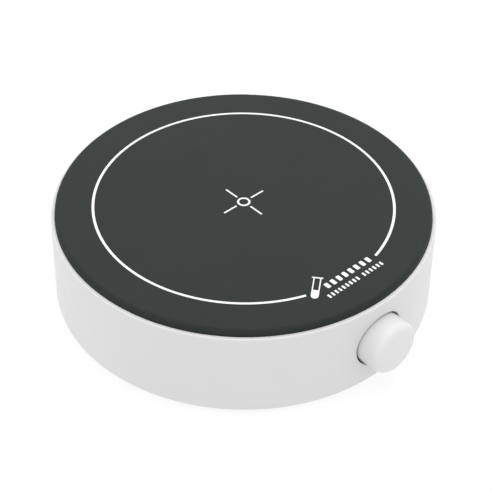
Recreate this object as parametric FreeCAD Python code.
"""Compact magnetic stirrer: a flat round housing, a dark work plate on top and one speed knob at the front.

A small brushed DC motor hangs on a steel bracket under the deck and spins a carrier with two magnets just
below the work plate. The front knob turns a rotary control whose first click is the power switch. A round
low-voltage inlet sits in the back wall. The base cover closes the housing from below and carries the board
and four feet.

Frame: millimetres, +Z up, origin on the bench plane below the motor's axis, knob towards -Y and inlet
towards +Y.
Each sub-part is one STEP file in parts/, named after its node.
"""

import FreeCAD
import Part

import math
import os

V = FreeCAD.Vector

# ---- driving dimensions, in millimetres ----------------------------------------------------------
FOOT_DROP = 1.5            # how far the feet stand below the housing
HOUSING_R = 61.3
HOUSING_H = 29.55          # from the lower edge to the rim round the plate
WALL = 2.9
DECK_T = 2.0
RIM_ROUND = 0.6            # rounding of the rim's outer edge
BASE_ROUND = 0.8           # rounding of the lower outer edge
PLATE_R = 60.0
PLATE_T = 4.0
PLATE_PROUD = 2.1          # how far the plate stands above the rim
PLATE_ROUND = 1.35         # pencil-round upper edge of the plate
PLATE_GAP = 0.1
TAPE_T = 0.2
COVER_T = 2.0
COVER_GAP = 0.2

KNOB_R = 8.75
KNOB_TIP = 69.1            # distance of the knob's crown from the motor's axis
KNOB_ROUND = 2.2           # rounding of the crown's edge
KNOB_CROWN_DEG = 12        # slope of the crown where that rounding begins
KNOB_GAP = 0.65            # annular gap between the knob and its well
WELL_ROUND = 0.25          # rounding of the well's mouth
WELL_FLOOR = 56.0          # distance of the well's floor from the motor's axis
WELL_FLOOR_T = 2.0

MOTOR_R = 12.2
MOTOR_L = 12.1
SHAFT_R = 1.0
CARRIER_R = 22.0
MAGNET_R = 6.0
MAGNET_OFFSET = 14.0
AIR_GAP = 0.95             # between the carrier and the deck

CONTROL_SHAFT_R = 3.0
JACK_BORE_R = 3.0
JACK_PIN_R = 1.0
RUNNING = 0.03             # radial clearance of a shaft in its bush
FIT = 0.01                 # radial clearance between parts pressed together
WIRE_R = 0.6

# ---- levels and places that follow from them -----------------------------------------------------
BODY_Z = FOOT_DROP
RIM_Z = BODY_Z + HOUSING_H
PLATE_TOP = RIM_Z + PLATE_PROUD
PLATE_BOTTOM = PLATE_TOP - PLATE_T
DECK_TOP = PLATE_BOTTOM - TAPE_T
DECK_Z = DECK_TOP - DECK_T
COVER_TOP = BODY_Z + COVER_T
INNER_R = HOUSING_R - WALL
SEAT_R = INNER_R + 0.6     # the wall is thinner round the cover, which leaves a ledge for it
COVER_R = SEAT_R - COVER_GAP
AXIS_Z = 16.45             # height of the knob's and the inlet's axes
WELL_R = KNOB_R + KNOB_GAP

CUP_TOP = COVER_TOP + 1.5  # cups in the cover meet the housing's bosses here
CUP_R = 5.2
SCREW_RING_R = 53.0
SCREW_ANGLES = (22, 158, 202, 338)
FOOT_RING_R = 49.0
FOOT_ANGLES = (45, 135, 225, 315)
FOOT_R = 6.0
FOOT_SEAT = 0.5            # depth of a foot's recess

CARRIER_TOP = DECK_Z - AIR_GAP
CARRIER_T = 4.6
YOKE_T = 1.2
YOKE_TOP = CARRIER_TOP - CARRIER_T
BRACKET_T = 1.5
BRACKET_TOP = YOKE_TOP - YOKE_T - 1.4
BRACKET_Z = BRACKET_TOP - BRACKET_T
BRACKET_X = 35.5
BRACKET_Y = 13.0
POST_X, POST_Y, POST_R = 31.0, 9.0, 3.2
MOTOR_TOP = BRACKET_Z
MOTOR_Z = MOTOR_TOP - MOTOR_L
CAN_T = 0.8

BOARD_Z, BOARD_T = 8.0, 1.6
BOARD_TOP = BOARD_Z + BOARD_T
BOARD_X = (17.5, 45.0)
BOARD_Y = 17.0
BOARD_HOLES = ((41.8, 14.0), (41.8, -14.0), (21.0, 3.0))
STANDOFF_R = 2.6
LEAD_Z = 11.9              # height at which wires leave the board's plugs

# ---- sizes shared by neighbouring pieces ---------------------------------------------------------
MOTOR_SCREW_Y = 8.0
BUSH_R = 2.5
COMMUTATOR_R = 2.6
ARMATURE_R = 8.9
HUB_R = 4.0
TERMINAL_X = 12.8
TERMINAL_Y = (-9.2, -6.8)

CONTROL_R = 8.2
CONTROL_BACK = 45.0        # distances from the motor's axis, as for the knob
SWITCH_R = 7.0
SWITCH_BACK = 37.0
CONTROL_NUT_TOP = 58.5
CONTROL_SHAFT_TIP = 66.4
D_FLAT = 1.5
TAB_X = 12.0
TAB_DZ = (-4.0, 0.0, 4.0)
SWITCH_TAB_X = (-3.0, 3.0)

JACK_PANEL_OUT = 59.5
JACK_PANEL_IN = 57.5
JACK_FACE = 61.0
JACK_FLOOR = 51.5
JACK_BACK = 49.0
JACK_TAB_X = (-2.6, 2.6)

MOTOR_SOCKET_X, MOTOR_SOCKET_Y = (18.0, 24.0), (-11.2, -4.8)
CONTROL_SOCKET_X, CONTROL_SOCKET_Y = (25.0, 38.0), (-16.4, -10.4)
INLET_SOCKET_X, INLET_SOCKET_Y = (26.0, 32.4), (10.4, 16.4)
PLUG_FACE_X = 15.8
PLUG_FACE_Y = 19.0
CONTROL_LEAD_X = (36.3, 33.9, 31.5)
SWITCH_LEAD_X = (29.1, 26.7)
INLET_LEAD_X = (28.0, 30.4)

OUT = "parts"


# ---- helpers -------------------------------------------------------------------------------------
def rod(radius, low, high, x=0.0, y=0.0):
    """Upright cylinder between two heights."""
    return Part.makeCylinder(radius, high - low, V(x, y, low))


def ring(outer, inner, low, high, x=0.0, y=0.0):
    """Upright tube between two heights."""
    return rod(outer, low, high, x, y).cut(rod(inner, low, high, x, y))


def block(x, y, z):
    """Box from three (low, high) pairs."""
    return Part.makeBox(x[1] - x[0], y[1] - y[0], z[1] - z[0], V(x[0], y[0], z[0]))


def turned(start, *steps):
    """Solid of revolution about Z. A step is a point (r, z), or a pair (middle, end) for an arc."""
    edges = []
    here = start
    for step in (*steps, start):
        if isinstance(step[0], tuple):
            middle, end = step
            a, b, c = (V(p[0], 0, p[1]) for p in (here, middle, end))
            edges.append(Part.Arc(a, b, c).toShape())
        else:
            end = step
            if end != here:
                edges.append(Part.LineSegment(V(here[0], 0, here[1]), V(end[0], 0, end[1])).toShape())
        here = end
    face = Part.Face(Part.Wire(edges))
    return face.revolve(V(0, 0, 0), V(0, 0, 1), 360)


def rounded(centre, radius, start_deg, end_deg):
    """(middle, end) of an arc step about centre, between two directions in the r-z plane."""
    def point(deg):
        t = math.radians(deg)
        return (centre[0] + radius * math.cos(t), centre[1] + radius * math.sin(t))

    return (point((start_deg + end_deg) / 2), point(end_deg))


def polar(radius, degrees):
    """Point in plan at a radius and an angle from +X."""
    t = math.radians(degrees)
    return radius * math.cos(t), radius * math.sin(t)


def to_front(shape):
    """Turns a piece built up along +Z to point at -Y, on the knob's axis."""
    moved = shape.copy()
    moved.rotate(V(0, 0, 0), V(1, 0, 0), 90)
    moved.translate(V(0, 0, AXIS_Z))
    return moved


def to_back(shape):
    """Turns a piece built up along +Z to point at +Y, on the inlet's axis."""
    moved = shape.copy()
    moved.rotate(V(0, 0, 0), V(1, 0, 0), -90)
    moved.translate(V(0, 0, AXIS_Z))
    return moved


def hexagon(across_flats, low, high):
    """Hexagonal prism about Z."""
    corner = across_flats / math.sqrt(3)
    points = [V(*polar(corner, 60 * i + 30), low) for i in range(7)]
    return Part.Face(Part.makePolygon(points)).extrude(V(0, 0, high - low))


def sector(outer, inner, low, high, middle_deg, span_deg):
    """Part of an upright tube that spans an angle."""
    solid = Part.makeCylinder(outer, high - low, V(0, 0, low), V(0, 0, 1), span_deg)
    solid = solid.cut(rod(inner, low, high))
    solid.rotate(V(0, 0, 0), V(0, 0, 1), middle_deg - span_deg / 2)
    return solid


def wire_tube(points, radius=WIRE_R):
    """Round wire along straight runs joined by tangent arcs, each as large as its two runs allow."""
    points = [V(*p) for p in points]
    edges = []
    here = points[0]
    for before, corner, after in zip(points, points[1:], points[2:]):
        back, ahead = (before - corner), (after - corner)
        trim = 0.45 * min(back.Length, ahead.Length)
        a = corner + back.normalize() * trim
        b = corner + ahead.normalize() * trim
        half = back.getAngle(ahead) / 2
        bend = trim * math.tan(half)
        centre = corner + (back + ahead).normalize() * (trim / math.cos(half))
        middle = centre + (corner - centre).normalize() * bend
        edges.append(Part.LineSegment(here, a).toShape())
        edges.append(Part.Arc(a, middle, b).toShape())
        here = b
    edges.append(Part.LineSegment(here, points[-1]).toShape())
    path = Part.Wire(edges)
    profile = Part.Wire(Part.Circle(points[0], points[1] - points[0], radius).toShape())
    tube = path.makePipeShell([profile], True, True)
    expected = math.pi * radius * radius * path.Length
    if abs(tube.Volume - expected) > 0.02 * expected:
        raise ValueError("a wire's volume is off: %.2f against %.2f" % (tube.Volume, expected))
    return tube


def cross_recess(radius, low, high, x, y):
    """Two crossed slots, for a screw's driver."""
    slot = 0.24 * radius
    arm = 0.54 * radius
    one = block((x - arm, x + arm), (y - slot, y + slot), (low, high))
    two = block((x - slot, x + slot), (y - arm, y + arm), (low, high))
    return one.fuse(two)


def pan_screw(head_r, head_h, shank_r, length, x, y, seat, up):
    """Pan-head screw whose head rests on the seat height. up is 1 where the shank points up."""
    head = turned((0, -head_h), (0.62 * head_r, -head_h),
                  ((0.9 * head_r, -0.8 * head_h), (head_r, -0.35 * head_h)),
                  (head_r, 0), (0, 0))
    shank = turned((0, 0), (shank_r, 0), (shank_r, length - shank_r), (0.25 * shank_r, length), (0, length))
    screw = head.fuse(shank)
    screw = screw.cut(cross_recess(head_r, -head_h, -0.35 * head_h, 0, 0)).removeSplitter()
    if up < 0:
        screw.rotate(V(0, 0, 0), V(1, 0, 0), 180)
    screw.translate(V(x, y, seat))
    return screw


# ---- casing --------------------------------------------------------------------------------------
def top_housing():
    """Wall and deck in one moulding, with the knob's well, the inlet's seat, bosses and posts."""
    rim_inner = PLATE_R + PLATE_GAP
    shell = turned(
        (0, DECK_Z), (INNER_R, DECK_Z), (INNER_R, COVER_TOP), (SEAT_R, COVER_TOP), (SEAT_R, BODY_Z),
        (HOUSING_R - BASE_ROUND, BODY_Z),
        rounded((HOUSING_R - BASE_ROUND, BODY_Z + BASE_ROUND), BASE_ROUND, -90, 0),
        (HOUSING_R, RIM_Z - RIM_ROUND),
        rounded((HOUSING_R - RIM_ROUND, RIM_Z - RIM_ROUND), RIM_ROUND, 0, 90),
        (rim_inner, RIM_Z), (rim_inner, DECK_TOP), (0, DECK_TOP),
    )
    outside = rod(HOUSING_R, BODY_Z, RIM_Z - RIM_ROUND)
    well = to_front(rod(WELL_R + 1.8, WELL_FLOOR - WELL_FLOOR_T, HOUSING_R + 1))
    seat = to_back(rod(8.0, JACK_PANEL_IN, HOUSING_R + 1))
    shell = shell.fuse([well.common(outside), seat.common(outside)])
    for angle in SCREW_ANGLES:
        x, y = polar(SCREW_RING_R, angle)
        rib = block((SCREW_RING_R, INNER_R + 0.3), (-0.7, 0.7), (CUP_TOP + 1.5, DECK_Z + 0.5))
        rib.rotate(V(0, 0, 0), V(0, 0, 1), angle)
        shell = shell.fuse([rod(3.6, CUP_TOP, DECK_Z + 0.5, x, y), rib])
        shell = shell.cut(rod(1.25, CUP_TOP, CUP_TOP + 12, x, y))
    for sx in (-1, 1):
        for sy in (-1, 1):
            x, y = sx * POST_X, sy * POST_Y
            shell = shell.fuse(rod(POST_R, BRACKET_TOP, DECK_Z + 0.5, x, y))
            shell = shell.cut(rod(0.9, BRACKET_TOP, DECK_Z - 1, x, y))
    shell = shell.cut(to_front(rod(WELL_R, WELL_FLOOR, HOUSING_R + 2)))
    far = [e for e in shell.Edges if e.BoundBox.YMax < -(HOUSING_R - 2)]
    mouth = [e for e in far if e.BoundBox.XLength > 2 * WELL_R - 0.5]
    shell = shell.makeFillet(WELL_ROUND, mouth)
    shell = shell.cut(to_front(rod(3.65, WELL_FLOOR - WELL_FLOOR_T - 1, WELL_FLOOR + 1)))
    shell = shell.cut(to_back(rod(6.0, JACK_PANEL_OUT, HOUSING_R + 2)))
    shell = shell.cut(to_back(rod(4.05, JACK_PANEL_IN - 1, JACK_PANEL_OUT + 1)))
    return shell.removeSplitter()


def base_cover():
    """Disc that closes the housing from below: screw cups, foot recesses, vents, board standoffs."""
    cover = turned((0, BODY_Z), (COVER_R - 0.4, BODY_Z), (COVER_R, BODY_Z + 0.4),
                   (COVER_R, COVER_TOP), (0, COVER_TOP))
    for angle in SCREW_ANGLES:
        x, y = polar(SCREW_RING_R, angle)
        cover = cover.fuse(rod(CUP_R, BODY_Z + 0.5, CUP_TOP, x, y))
        cover = cover.cut([rod(3.2, BODY_Z - 1, BODY_Z + 2.2, x, y), rod(1.7, BODY_Z, CUP_TOP + 1, x, y)])
    for angle in FOOT_ANGLES:
        x, y = polar(FOOT_RING_R, angle)
        cover = cover.cut(rod(FOOT_R + 0.2, BODY_Z - 1, BODY_Z + FOOT_SEAT, x, y))
    for middle in (90, 270):
        for step in (-2, -1, 0, 1, 2):
            cover = cover.cut(vent_slot(middle + 13 * step))
    for x, y in BOARD_HOLES:
        cover = cover.fuse(rod(STANDOFF_R, COVER_TOP - 0.5, BOARD_Z, x, y))
        cover = cover.cut(rod(0.9, COVER_TOP - 0.8, BOARD_Z, x, y))
    return cover.removeSplitter()


def vent_slot(angle):
    """Round-ended radial slot through the base cover."""
    inner, outer, half = 18.0, 29.0, 1.1
    low, high = BODY_Z - 1, COVER_TOP + 1
    slot = block((inner, outer), (-half, half), (low, high))
    slot = slot.fuse([rod(half, low, high, inner), rod(half, low, high, outer)])
    slot.rotate(V(0, 0, 0), V(0, 0, 1), angle)
    return slot


def work_plate():
    """Round plate that the vessel stands on, with a rounded upper edge."""
    edge = PLATE_R - PLATE_ROUND
    return turned(
        (0, PLATE_BOTTOM), (PLATE_R - 0.3, PLATE_BOTTOM), (PLATE_R, PLATE_BOTTOM + 0.3),
        (PLATE_R, PLATE_TOP - PLATE_ROUND),
        rounded((edge, PLATE_TOP - PLATE_ROUND), PLATE_ROUND, 0, 90),
        (0, PLATE_TOP),
    )


def plate_adhesive():
    """Double-sided tape between the plate and the deck, open over the magnets."""
    return ring(PLATE_R - 3, CARRIER_R + 2, DECK_TOP, PLATE_BOTTOM)


def rubber_feet():
    """Four round feet stuck into the cover's recesses."""
    feet = []
    for angle in FOOT_ANGLES:
        foot = turned((0, 0), (FOOT_R - 0.6, 0), rounded((FOOT_R - 0.6, 0.6), 0.6, -90, 0),
                      (FOOT_R, BODY_Z + FOOT_SEAT), (0, BODY_Z + FOOT_SEAT))
        x, y = polar(FOOT_RING_R, angle)
        foot.translate(V(x, y, 0))
        feet.append(foot)
    return Part.makeCompound(feet)


def cover_screws():
    """Four self-tapping screws that hold the cover to the housing's bosses."""
    places = [polar(SCREW_RING_R, angle) for angle in SCREW_ANGLES]
    return Part.makeCompound([pan_screw(2.8, 1.7, 1.24, 10.0, x, y, BODY_Z + 2.2, 1) for x, y in places])


# ---- motor and magnet drive ----------------------------------------------------------------------
def motor_bracket():
    """Flat steel bracket that hangs the motor from the deck's posts."""
    plate = block((-BRACKET_X, BRACKET_X), (-BRACKET_Y, BRACKET_Y), (BRACKET_Z, BRACKET_TOP))
    upright = [e for e in plate.Edges if abs(e.Vertexes[0].Z - e.Vertexes[1].Z) > BRACKET_T / 2]
    plate = plate.makeFillet(4.0, upright)
    holes = [rod(3.3, BRACKET_Z - 1, BRACKET_TOP + 1)]
    for sx in (-1, 1):
        holes += [rod(1.3, BRACKET_Z - 1, BRACKET_TOP + 1, sx * POST_X, sy * POST_Y) for sy in (-1, 1)]
        holes.append(rod(4.5, BRACKET_Z - 1, BRACKET_TOP + 1, sx * 21.5, 0))
        holes.append(rod(1.15, BRACKET_Z - 1, BRACKET_TOP + 1, 0, sx * MOTOR_SCREW_Y))
    return plate.cut(holes)


def bracket_screws():
    """Four screws that hold the bracket up against the posts."""
    places = [(sx * POST_X, sy * POST_Y) for sx in (-1, 1) for sy in (-1, 1)]
    return Part.makeCompound([pan_screw(2.2, 1.4, 0.89, 7.5, x, y, BRACKET_Z, 1) for x, y in places])


def motor_screws():
    """Two screws through the bracket into the motor's front face."""
    places = [(0, side * MOTOR_SCREW_Y) for side in (-1, 1)]
    return Part.makeCompound([pan_screw(1.9, 1.2, 0.99, 2.6, x, y, BRACKET_TOP, -1) for x, y in places])


def motor_can():
    """Deep-drawn steel can with a boss round the front bush."""
    can = turned(
        (MOTOR_R - CAN_T, MOTOR_Z), (MOTOR_R, MOTOR_Z), (MOTOR_R, MOTOR_TOP - 0.6),
        rounded((MOTOR_R - 0.6, MOTOR_TOP - 0.6), 0.6, 0, 90),
        (3.1, MOTOR_TOP), (3.1, MOTOR_TOP + 1.6), (1.4, MOTOR_TOP + 1.6), (1.4, MOTOR_TOP + 1.3),
        (BUSH_R, MOTOR_TOP + 1.3), (BUSH_R, MOTOR_TOP - CAN_T), (MOTOR_R - CAN_T, MOTOR_TOP - CAN_T),
    )
    taps = [rod(1.0, MOTOR_TOP - CAN_T - 1, MOTOR_TOP + 1, 0, side * MOTOR_SCREW_Y) for side in (-1, 1)]
    return can.cut(taps)


def motor_end_cap():
    """Moulded rear cap that carries the brushes and the rear bush."""
    low = MOTOR_Z - 0.8
    cap = turned(
        (SHAFT_R + 0.3, low - 0.5), (3.2, low - 0.5), (3.2, low), (MOTOR_R - 0.3, low),
        (MOTOR_R - 0.3, MOTOR_Z), (MOTOR_R - CAN_T - FIT, MOTOR_Z),
        (MOTOR_R - CAN_T - FIT, MOTOR_Z + 0.7), (BUSH_R + FIT, MOTOR_Z + 0.7),
        (BUSH_R + FIT, low - 0.1), (SHAFT_R + 0.3, low - 0.1),
    )
    return cap.cut([block((4, 13), (y - 1.0, y + 1.0), (low, low + 0.6)) for y in TERMINAL_Y])


def field_magnets():
    """Two ferrite arcs on the can's inner wall."""
    outer = MOTOR_R - CAN_T - FIT
    arcs = [sector(outer, outer - 2.1, MOTOR_Z + 1.4, MOTOR_TOP - 1.6, angle, 128) for angle in (0, 180)]
    return Part.makeCompound(arcs)


def shaft_bushes():
    """Sintered bushes in the can's boss and in the end cap."""
    bore = SHAFT_R + RUNNING
    front = ring(BUSH_R - FIT, bore, MOTOR_TOP - 1.0, MOTOR_TOP + 1.3)
    rear = ring(BUSH_R - FIT, bore, MOTOR_Z - 0.9, MOTOR_Z + 0.7)
    return Part.makeCompound([front, rear])


def motor_brushes():
    """Two carbon brushes that press on the commutator."""
    low = MOTOR_Z + 0.8
    gap = COMMUTATOR_R + 0.05
    return Part.makeCompound([
        block((gap, gap + 2.6), (-0.8, 0.8), (low, low + 1.0)),
        block((-gap - 2.6, -gap), (-0.8, 0.8), (low, low + 1.0)),
    ])


def motor_terminals():
    """Two flat tabs that lead out of the end cap to the motor's leads."""
    low = MOTOR_Z - 0.75
    tabs = [block((5.0, TERMINAL_X), (y - 0.8, y + 0.8), (low, low + 0.5)) for y in TERMINAL_Y]
    return Part.makeCompound(tabs)


def motor_shaft():
    """Ground steel shaft through motor and carrier."""
    low, high = MOTOR_Z - 1.2, CARRIER_TOP - 0.6
    return turned((0, low), (SHAFT_R - 0.2, low), (SHAFT_R, low + 0.2),
                  (SHAFT_R, high - 0.2), (SHAFT_R - 0.2, high),
                  (0, high))


def pole_angles():
    return (90, 210, 330)


def armature_core():
    """Three-pole stack of steel laminations."""
    low, high = MOTOR_Z + 3.0, MOTOR_TOP - 3.2
    core = rod(2.8, low, high)
    for angle in pole_angles():
        arm = block((2.0, 7.6), (-1.5, 1.5), (low, high))
        arm.rotate(V(0, 0, 0), V(0, 0, 1), angle)
        core = core.fuse([arm, sector(ARMATURE_R, 7.3, low, high, angle, 104)])
    return core.cut(rod(SHAFT_R + FIT, low, high)).removeSplitter()


def armature_windings():
    """One copper coil on each pole."""
    low, high = MOTOR_Z + 2.2, MOTOR_TOP - 2.4
    coils = []
    for angle in pole_angles():
        coil = block((3.6, 6.6), (-3.1, 3.1), (low, high))
        upright = [e for e in coil.Edges if abs(e.Vertexes[0].Z - e.Vertexes[1].Z) > 1]
        coil = coil.makeFillet(0.9, upright)
        coil = coil.cut(block((3.0, 8.0), (-1.55, 1.55), (low + 0.75, high - 0.75)))
        coil.rotate(V(0, 0, 0), V(0, 0, 1), angle)
        coils.append(coil)
    return Part.makeCompound(coils)


def commutator():
    """Copper commutator with three segments."""
    low, high = MOTOR_Z + 0.75, MOTOR_Z + 2.1
    body = ring(COMMUTATOR_R, SHAFT_R + FIT, low, high)
    for angle in pole_angles():
        gap = block((COMMUTATOR_R - 0.5, COMMUTATOR_R + 0.5), (-0.15, 0.15), (low, high))
        gap.rotate(V(0, 0, 0), V(0, 0, 1), angle + 60)
        body = body.cut(gap)
    return body


def magnet_carrier():
    """Moulded disc with a hub on the motor's shaft and two magnet pockets."""
    top, low = CARRIER_TOP, YOKE_TOP
    disc = turned(
        (SHAFT_R + FIT, YOKE_TOP - YOKE_T - 0.5), (HUB_R, YOKE_TOP - YOKE_T - 0.5),
        (HUB_R, low), (CARRIER_R, low),
        (CARRIER_R, top - 0.6), (CARRIER_R - 0.6, top), (SHAFT_R + FIT, top),
    )
    pockets = [rod(MAGNET_R + FIT, low, top, side * MAGNET_OFFSET) for side in (-1, 1)]
    lightening = [rod(3.6, low, top, 0, side * MAGNET_OFFSET) for side in (-1, 1)]
    return disc.cut(pockets + lightening)


def flux_yoke():
    """Steel disc under the magnets that closes their field."""
    return ring(20.5, HUB_R + FIT, YOKE_TOP - YOKE_T, YOKE_TOP)


def drive_magnets():
    """Two round magnets, one each way up."""
    discs = [rod(MAGNET_R, YOKE_TOP, CARRIER_TOP - 0.2, side * MAGNET_OFFSET) for side in (-1, 1)]
    return Part.makeCompound(discs)


# ---- speed control -------------------------------------------------------------------------------
def knob():
    """Smooth round knob with a crowned face, a hollow back and a D-shaped bore."""
    back = WELL_FLOOR + 0.6
    tilt = math.radians(KNOB_CROWN_DEG)
    crown_r = (KNOB_R - KNOB_ROUND) / math.sin(tilt) + KNOB_ROUND
    side = KNOB_TIP - crown_r + (crown_r - KNOB_ROUND) * math.cos(tilt)
    body = turned(
        (0, back), (KNOB_R - 0.2, back), (KNOB_R, back + 0.2), (KNOB_R, side),
        rounded((KNOB_R - KNOB_ROUND, side), KNOB_ROUND, 0, 90 - KNOB_CROWN_DEG),
        rounded((0, KNOB_TIP - crown_r), crown_r, 90 - KNOB_CROWN_DEG, 90),
    )
    body = body.cut(rod(6.9, back - 1, CONTROL_NUT_TOP + 1.8))
    bore = rod(CONTROL_SHAFT_R + 0.02, CONTROL_NUT_TOP, CONTROL_SHAFT_TIP + 0.3)
    flat = block((-5, 5), (D_FLAT + 0.02, 5), (CONTROL_NUT_TOP, CONTROL_SHAFT_TIP + 1))
    return to_front(body.cut(bore.cut(flat)))


def control_shaft():
    """Shaft of the rotary control, with a flat for the knob."""
    low = SWITCH_BACK + 1.6
    shaft = turned((0, low), (CONTROL_SHAFT_R, low), (CONTROL_SHAFT_R, CONTROL_SHAFT_TIP - 0.4),
                   (CONTROL_SHAFT_R - 0.4, CONTROL_SHAFT_TIP), (0, CONTROL_SHAFT_TIP))
    flat = block((-5, 5), (D_FLAT, 5), (CONTROL_NUT_TOP + 1.5, CONTROL_SHAFT_TIP + 1))
    return to_front(shaft.cut(flat))


def control_wiper():
    """Carrier disc with the sliding contact, fixed to the shaft inside the case."""
    low = CONTROL_BACK + 3.4
    disc = ring(6.4, CONTROL_SHAFT_R + FIT, low, low + 1.6)
    arm = block((3.5, 5.8), (-1.2, 1.2), (low - 0.9, low + 0.2))
    return to_front(disc.fuse(arm).removeSplitter())


def switch_cam():
    """Lobe on the shaft's rear that works the power switch at the end of the travel."""
    low = SWITCH_BACK + 2.0
    lobe = ring(4.0, CONTROL_SHAFT_R + FIT, low, low + 2.0)
    nose = block((3.4, 5.2), (-0.9, 0.9), (low, low + 2.0))
    return to_front(lobe.fuse(nose).removeSplitter())


def control_case():
    """Drawn case of the rotary control, with its threaded bushing."""
    front = WELL_FLOOR - WELL_FLOOR_T
    case = turned(
        (CONTROL_SHAFT_R + RUNNING, front - 1.0), (CONTROL_R - 0.8, front - 1.0),
        (CONTROL_R - 0.8, CONTROL_BACK),
        (CONTROL_R, CONTROL_BACK), (CONTROL_R, front), (3.5, front), (3.5, CONTROL_NUT_TOP + 1.3),
        (CONTROL_SHAFT_R + RUNNING, CONTROL_NUT_TOP + 1.3),
    )
    return to_front(case)


def control_track():
    """Wafer with the resistive track, at the case's back."""
    return to_front(ring(CONTROL_R - 0.8 - FIT, CONTROL_SHAFT_R + 0.4, CONTROL_BACK, CONTROL_BACK + 1.4))


def control_terminals():
    """Three tabs from the track, out through the case's side."""
    low = CONTROL_BACK - 0.45
    return Part.makeCompound([
        to_front(block((CONTROL_R - 3.6, TAB_X), (dz - 0.7, dz + 0.7), (low, low + 0.4))) for dz in TAB_DZ
    ])


def switch_case():
    """Moulded power switch on the back of the control."""
    front = CONTROL_BACK - 0.5
    shell = turned(
        (CONTROL_SHAFT_R + 0.3, front), (SWITCH_R, front), (SWITCH_R, SWITCH_BACK), (0, SWITCH_BACK),
        (0, SWITCH_BACK + 1.2), (SWITCH_R - 1.0, SWITCH_BACK + 1.2), (SWITCH_R - 1.0, front - 1.0),
        (CONTROL_SHAFT_R + 0.3, front - 1.0),
    )
    return to_front(shell)


def switch_terminals():
    """Two tabs on the switch's back."""
    back = SWITCH_BACK - 3.6
    tabs = [block((x - 0.9, x + 0.9), (-0.25, 0.25), (back, SWITCH_BACK)) for x in SWITCH_TAB_X]
    return to_front(Part.makeCompound(tabs))


def control_washer():
    """Flat washer under the control's nut."""
    return to_front(ring(5.6, 3.6, WELL_FLOOR, WELL_FLOOR + 0.5))


def control_nut():
    """Hexagon nut that clamps the control to the well's floor."""
    low = WELL_FLOOR + 0.5
    return to_front(hexagon(10.0, low, CONTROL_NUT_TOP).cut(rod(3.5 + FIT, low, CONTROL_NUT_TOP)))


# ---- power inlet ---------------------------------------------------------------------------------
def inlet_body():
    """Round inlet with a flange outside the panel and a barrel through it."""
    face, back = JACK_FACE, JACK_BACK
    body = turned(
        (JACK_PIN_R + 0.5, JACK_FLOOR), (JACK_BORE_R, JACK_FLOOR),
        (JACK_BORE_R, face - 0.3), (JACK_BORE_R + 0.3, face),
        (5.3, face), (5.6, face - 0.3), (5.6, JACK_PANEL_OUT), (3.95, JACK_PANEL_OUT), (3.95, back),
        (JACK_PIN_R + 0.5, back),
    )
    return to_back(body)


def inlet_pin():
    """Centre pin of the inlet."""
    tip = JACK_FACE - 0.8
    root_r = JACK_PIN_R + 0.5 - FIT
    pin = turned((0, JACK_BACK - 1.2), (root_r, JACK_BACK - 1.2), (root_r, JACK_FLOOR),
                 (JACK_PIN_R, JACK_FLOOR), (JACK_PIN_R, tip - 0.5),
                 rounded((JACK_PIN_R - 0.5, tip - 0.5), 0.5, 0, 90),
                 (0, tip))
    return to_back(pin)


def inlet_terminals():
    """Two solder tabs at the inlet's back."""
    tabs = [block((x - 0.9, x + 0.9), (-0.25, 0.25), (JACK_BACK - 4.0, JACK_BACK)) for x in JACK_TAB_X]
    return to_back(Part.makeCompound(tabs))


def inlet_nut():
    """Nut on the inlet's barrel, inside the wall."""
    low = JACK_PANEL_IN - 2.0
    return to_back(hexagon(11.0, low, JACK_PANEL_IN).cut(rod(3.95 + FIT, low, JACK_PANEL_IN)))


# ---- control board -------------------------------------------------------------------------------
def control_board():
    """Circuit board on the cover's standoffs."""
    board = block(BOARD_X, (-BOARD_Y, BOARD_Y), (BOARD_Z, BOARD_TOP))
    return board.cut([rod(1.2, BOARD_Z, BOARD_TOP, x, y) for x, y in BOARD_HOLES])


def board_screws():
    """Three screws through the board into the standoffs."""
    return Part.makeCompound([pan_screw(1.9, 1.2, 0.89, 5.2, x, y, BOARD_TOP, -1) for x, y in BOARD_HOLES])


def board_capacitors():
    """Two upright electrolytic capacitors."""
    cans = []
    for y in (-4.6, 4.6):
        can = turned((0, BOARD_TOP), (3.0, BOARD_TOP), (3.0, BOARD_TOP + 0.9), (2.75, BOARD_TOP + 1.2),
                     (3.0, BOARD_TOP + 1.5), (3.0, BOARD_TOP + 6.4), (2.7, BOARD_TOP + 6.7),
                     (0, BOARD_TOP + 6.7))
        can.translate(V(40.0, y, 0))
        cans.append(can)
    return Part.makeCompound(cans)


def board_inductor():
    """Drum-core inductor."""
    drum = turned((0, BOARD_TOP), (3.4, BOARD_TOP), (3.4, BOARD_TOP + 0.8), (2.8, BOARD_TOP + 0.8),
                  (2.8, BOARD_TOP + 3.4), (3.4, BOARD_TOP + 3.4), (3.4, BOARD_TOP + 4.2),
                  (0, BOARD_TOP + 4.2))
    drum.translate(V(31.5, 6.0, 0))
    return drum


def board_chips():
    """Driver and controller in flat packages."""
    sizes = ((27.0, -4.6, 5.0, 3.9), (34.0, -4.6, 4.6, 6.0), (26.4, 1.6, 3.0, 1.6))
    return Part.makeCompound([
        block((x - a / 2, x + a / 2), (y - b / 2, y + b / 2), (BOARD_TOP, BOARD_TOP + 1.5))
        for x, y, a, b in sizes
    ])


def socket(x, y, opening):
    """Header housing on the board, with its cavity open on one side: -1 or 1 along Y, 0 for -X."""
    low, high = BOARD_TOP, BOARD_TOP + 4.6
    shell = block(x, y, (low, high))
    inner_x = (x[0] + 0.6, x[1] - 0.6)
    inner_y = (y[0] + 0.6, y[1] - 0.6)
    if opening == 0:
        inner_x = (x[0] - 1, x[1] - 1.6)
    elif opening < 0:
        inner_y = (y[0] - 1, y[1] - 1.6)
    else:
        inner_y = (y[0] + 1.6, y[1] + 1)
    return shell.cut(block(inner_x, inner_y, (low + 0.6, high - 0.6)))


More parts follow.
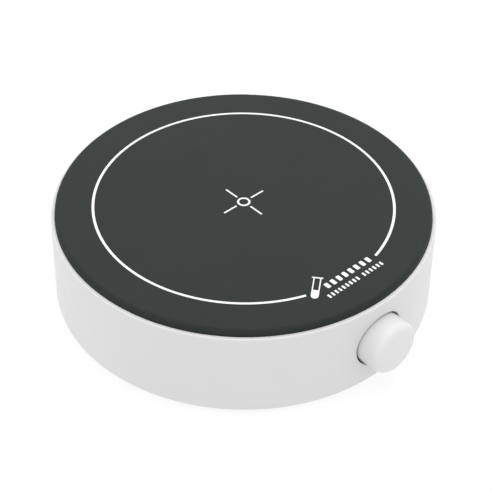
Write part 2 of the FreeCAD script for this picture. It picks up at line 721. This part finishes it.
def board_sockets():
    """Headers for the motor, the rotary control and the inlet."""
    return Part.makeCompound([
        socket(MOTOR_SOCKET_X, MOTOR_SOCKET_Y, 0),
        socket(CONTROL_SOCKET_X, CONTROL_SOCKET_Y, -1),
        socket(INLET_SOCKET_X, INLET_SOCKET_Y, 1),
    ])


def lead_plugs():
    """Plugs on the ends of the leads, pushed into the headers."""
    low, high = BOARD_TOP + 0.7, BOARD_TOP + 3.9
    return Part.makeCompound([
        block((PLUG_FACE_X, MOTOR_SOCKET_X[1] - 1.7),
              (MOTOR_SOCKET_Y[0] + 0.7, MOTOR_SOCKET_Y[1] - 0.7), (low, high)),
        block((CONTROL_SOCKET_X[0] + 0.7, CONTROL_SOCKET_X[1] - 0.7),
              (-PLUG_FACE_Y, CONTROL_SOCKET_Y[1] - 1.7), (low, high)),
        block((INLET_SOCKET_X[0] + 0.7, INLET_SOCKET_X[1] - 0.7),
              (INLET_SOCKET_Y[0] + 1.7, PLUG_FACE_Y), (low, high)),
    ])


def motor_leads():
    """Two leads from the motor's tabs up to their plug."""
    x = TERMINAL_X - 0.8
    return Part.makeCompound([
        wire_tube([(x, y, MOTOR_Z - 0.25), (x, y, LEAD_Z), (PLUG_FACE_X, y, LEAD_Z)]) for y in TERMINAL_Y
    ])


def control_leads():
    """Three leads from the track's tabs to the control's plug."""
    leads = []
    y = -(CONTROL_BACK - 0.25)
    for dz, plug_x in zip(TAB_DZ, CONTROL_LEAD_X):
        z = AXIS_Z + dz
        leads.append(wire_tube([
            (TAB_X, y, z), (TAB_X + 8.0 + dz, y, z),
            (plug_x, y + 12.0 - dz, LEAD_Z), (plug_x, -PLUG_FACE_Y, LEAD_Z),
        ]))
    return Part.makeCompound(leads)


def switch_leads():
    """Two leads from the switch's tabs to the control's plug."""
    leads = []
    y = -(SWITCH_BACK - 3.6)
    for x, plug_x, turn in zip(SWITCH_TAB_X, SWITCH_LEAD_X, (7.0, 4.4)):
        leads.append(wire_tube([
            (x, y, AXIS_Z), (x, y + turn, AXIS_Z),
            (plug_x, y + turn, LEAD_Z), (plug_x, -PLUG_FACE_Y, LEAD_Z),
        ]))
    return Part.makeCompound(leads)


def inlet_leads():
    """Two leads from the inlet's tabs to their plug."""
    leads = []
    y = JACK_BACK - 4.0
    for x, plug_x, turn in zip(JACK_TAB_X, INLET_LEAD_X, (10.0, 7.0)):
        leads.append(wire_tube([
            (x, y, AXIS_Z), (x, y - turn, AXIS_Z),
            (plug_x, y - turn, LEAD_Z), (plug_x, PLUG_FACE_Y, LEAD_Z),
        ]))
    return Part.makeCompound(leads)


# ---- every node of the assembly ------------------------------------------------------------------
NODES = (
    top_housing, base_cover, work_plate, plate_adhesive, rubber_feet, cover_screws,
    motor_bracket, bracket_screws, motor_screws, motor_can, motor_end_cap, field_magnets, shaft_bushes,
    motor_brushes, motor_terminals,
    motor_shaft, armature_core, armature_windings, commutator, magnet_carrier, flux_yoke, drive_magnets,
    knob, control_shaft, control_wiper, switch_cam,
    control_case, control_track, control_terminals, switch_case, switch_terminals,
    control_washer, control_nut,
    inlet_body, inlet_pin, inlet_terminals, inlet_nut,
    control_board, board_screws, board_capacitors, board_inductor, board_chips, board_sockets, lead_plugs,
    motor_leads, control_leads, switch_leads, inlet_leads,
)


def main():
    os.makedirs(OUT, exist_ok=True)
    for make in NODES:
        shape = make()
        solids = shape.Solids
        if not solids or not all(s.isValid() and s.isClosed() and s.Volume > 0 for s in solids):
            raise ValueError(make.__name__ + " isn't made of valid closed solids")
        kept = solids[0] if len(solids) == 1 else Part.makeCompound(solids)
        kept.exportStep(os.path.join(OUT, make.__name__ + ".step"))
        print("%-20s %d solid(s) %10.2f mm3" % (make.__name__, len(solids), kept.Volume))


main()
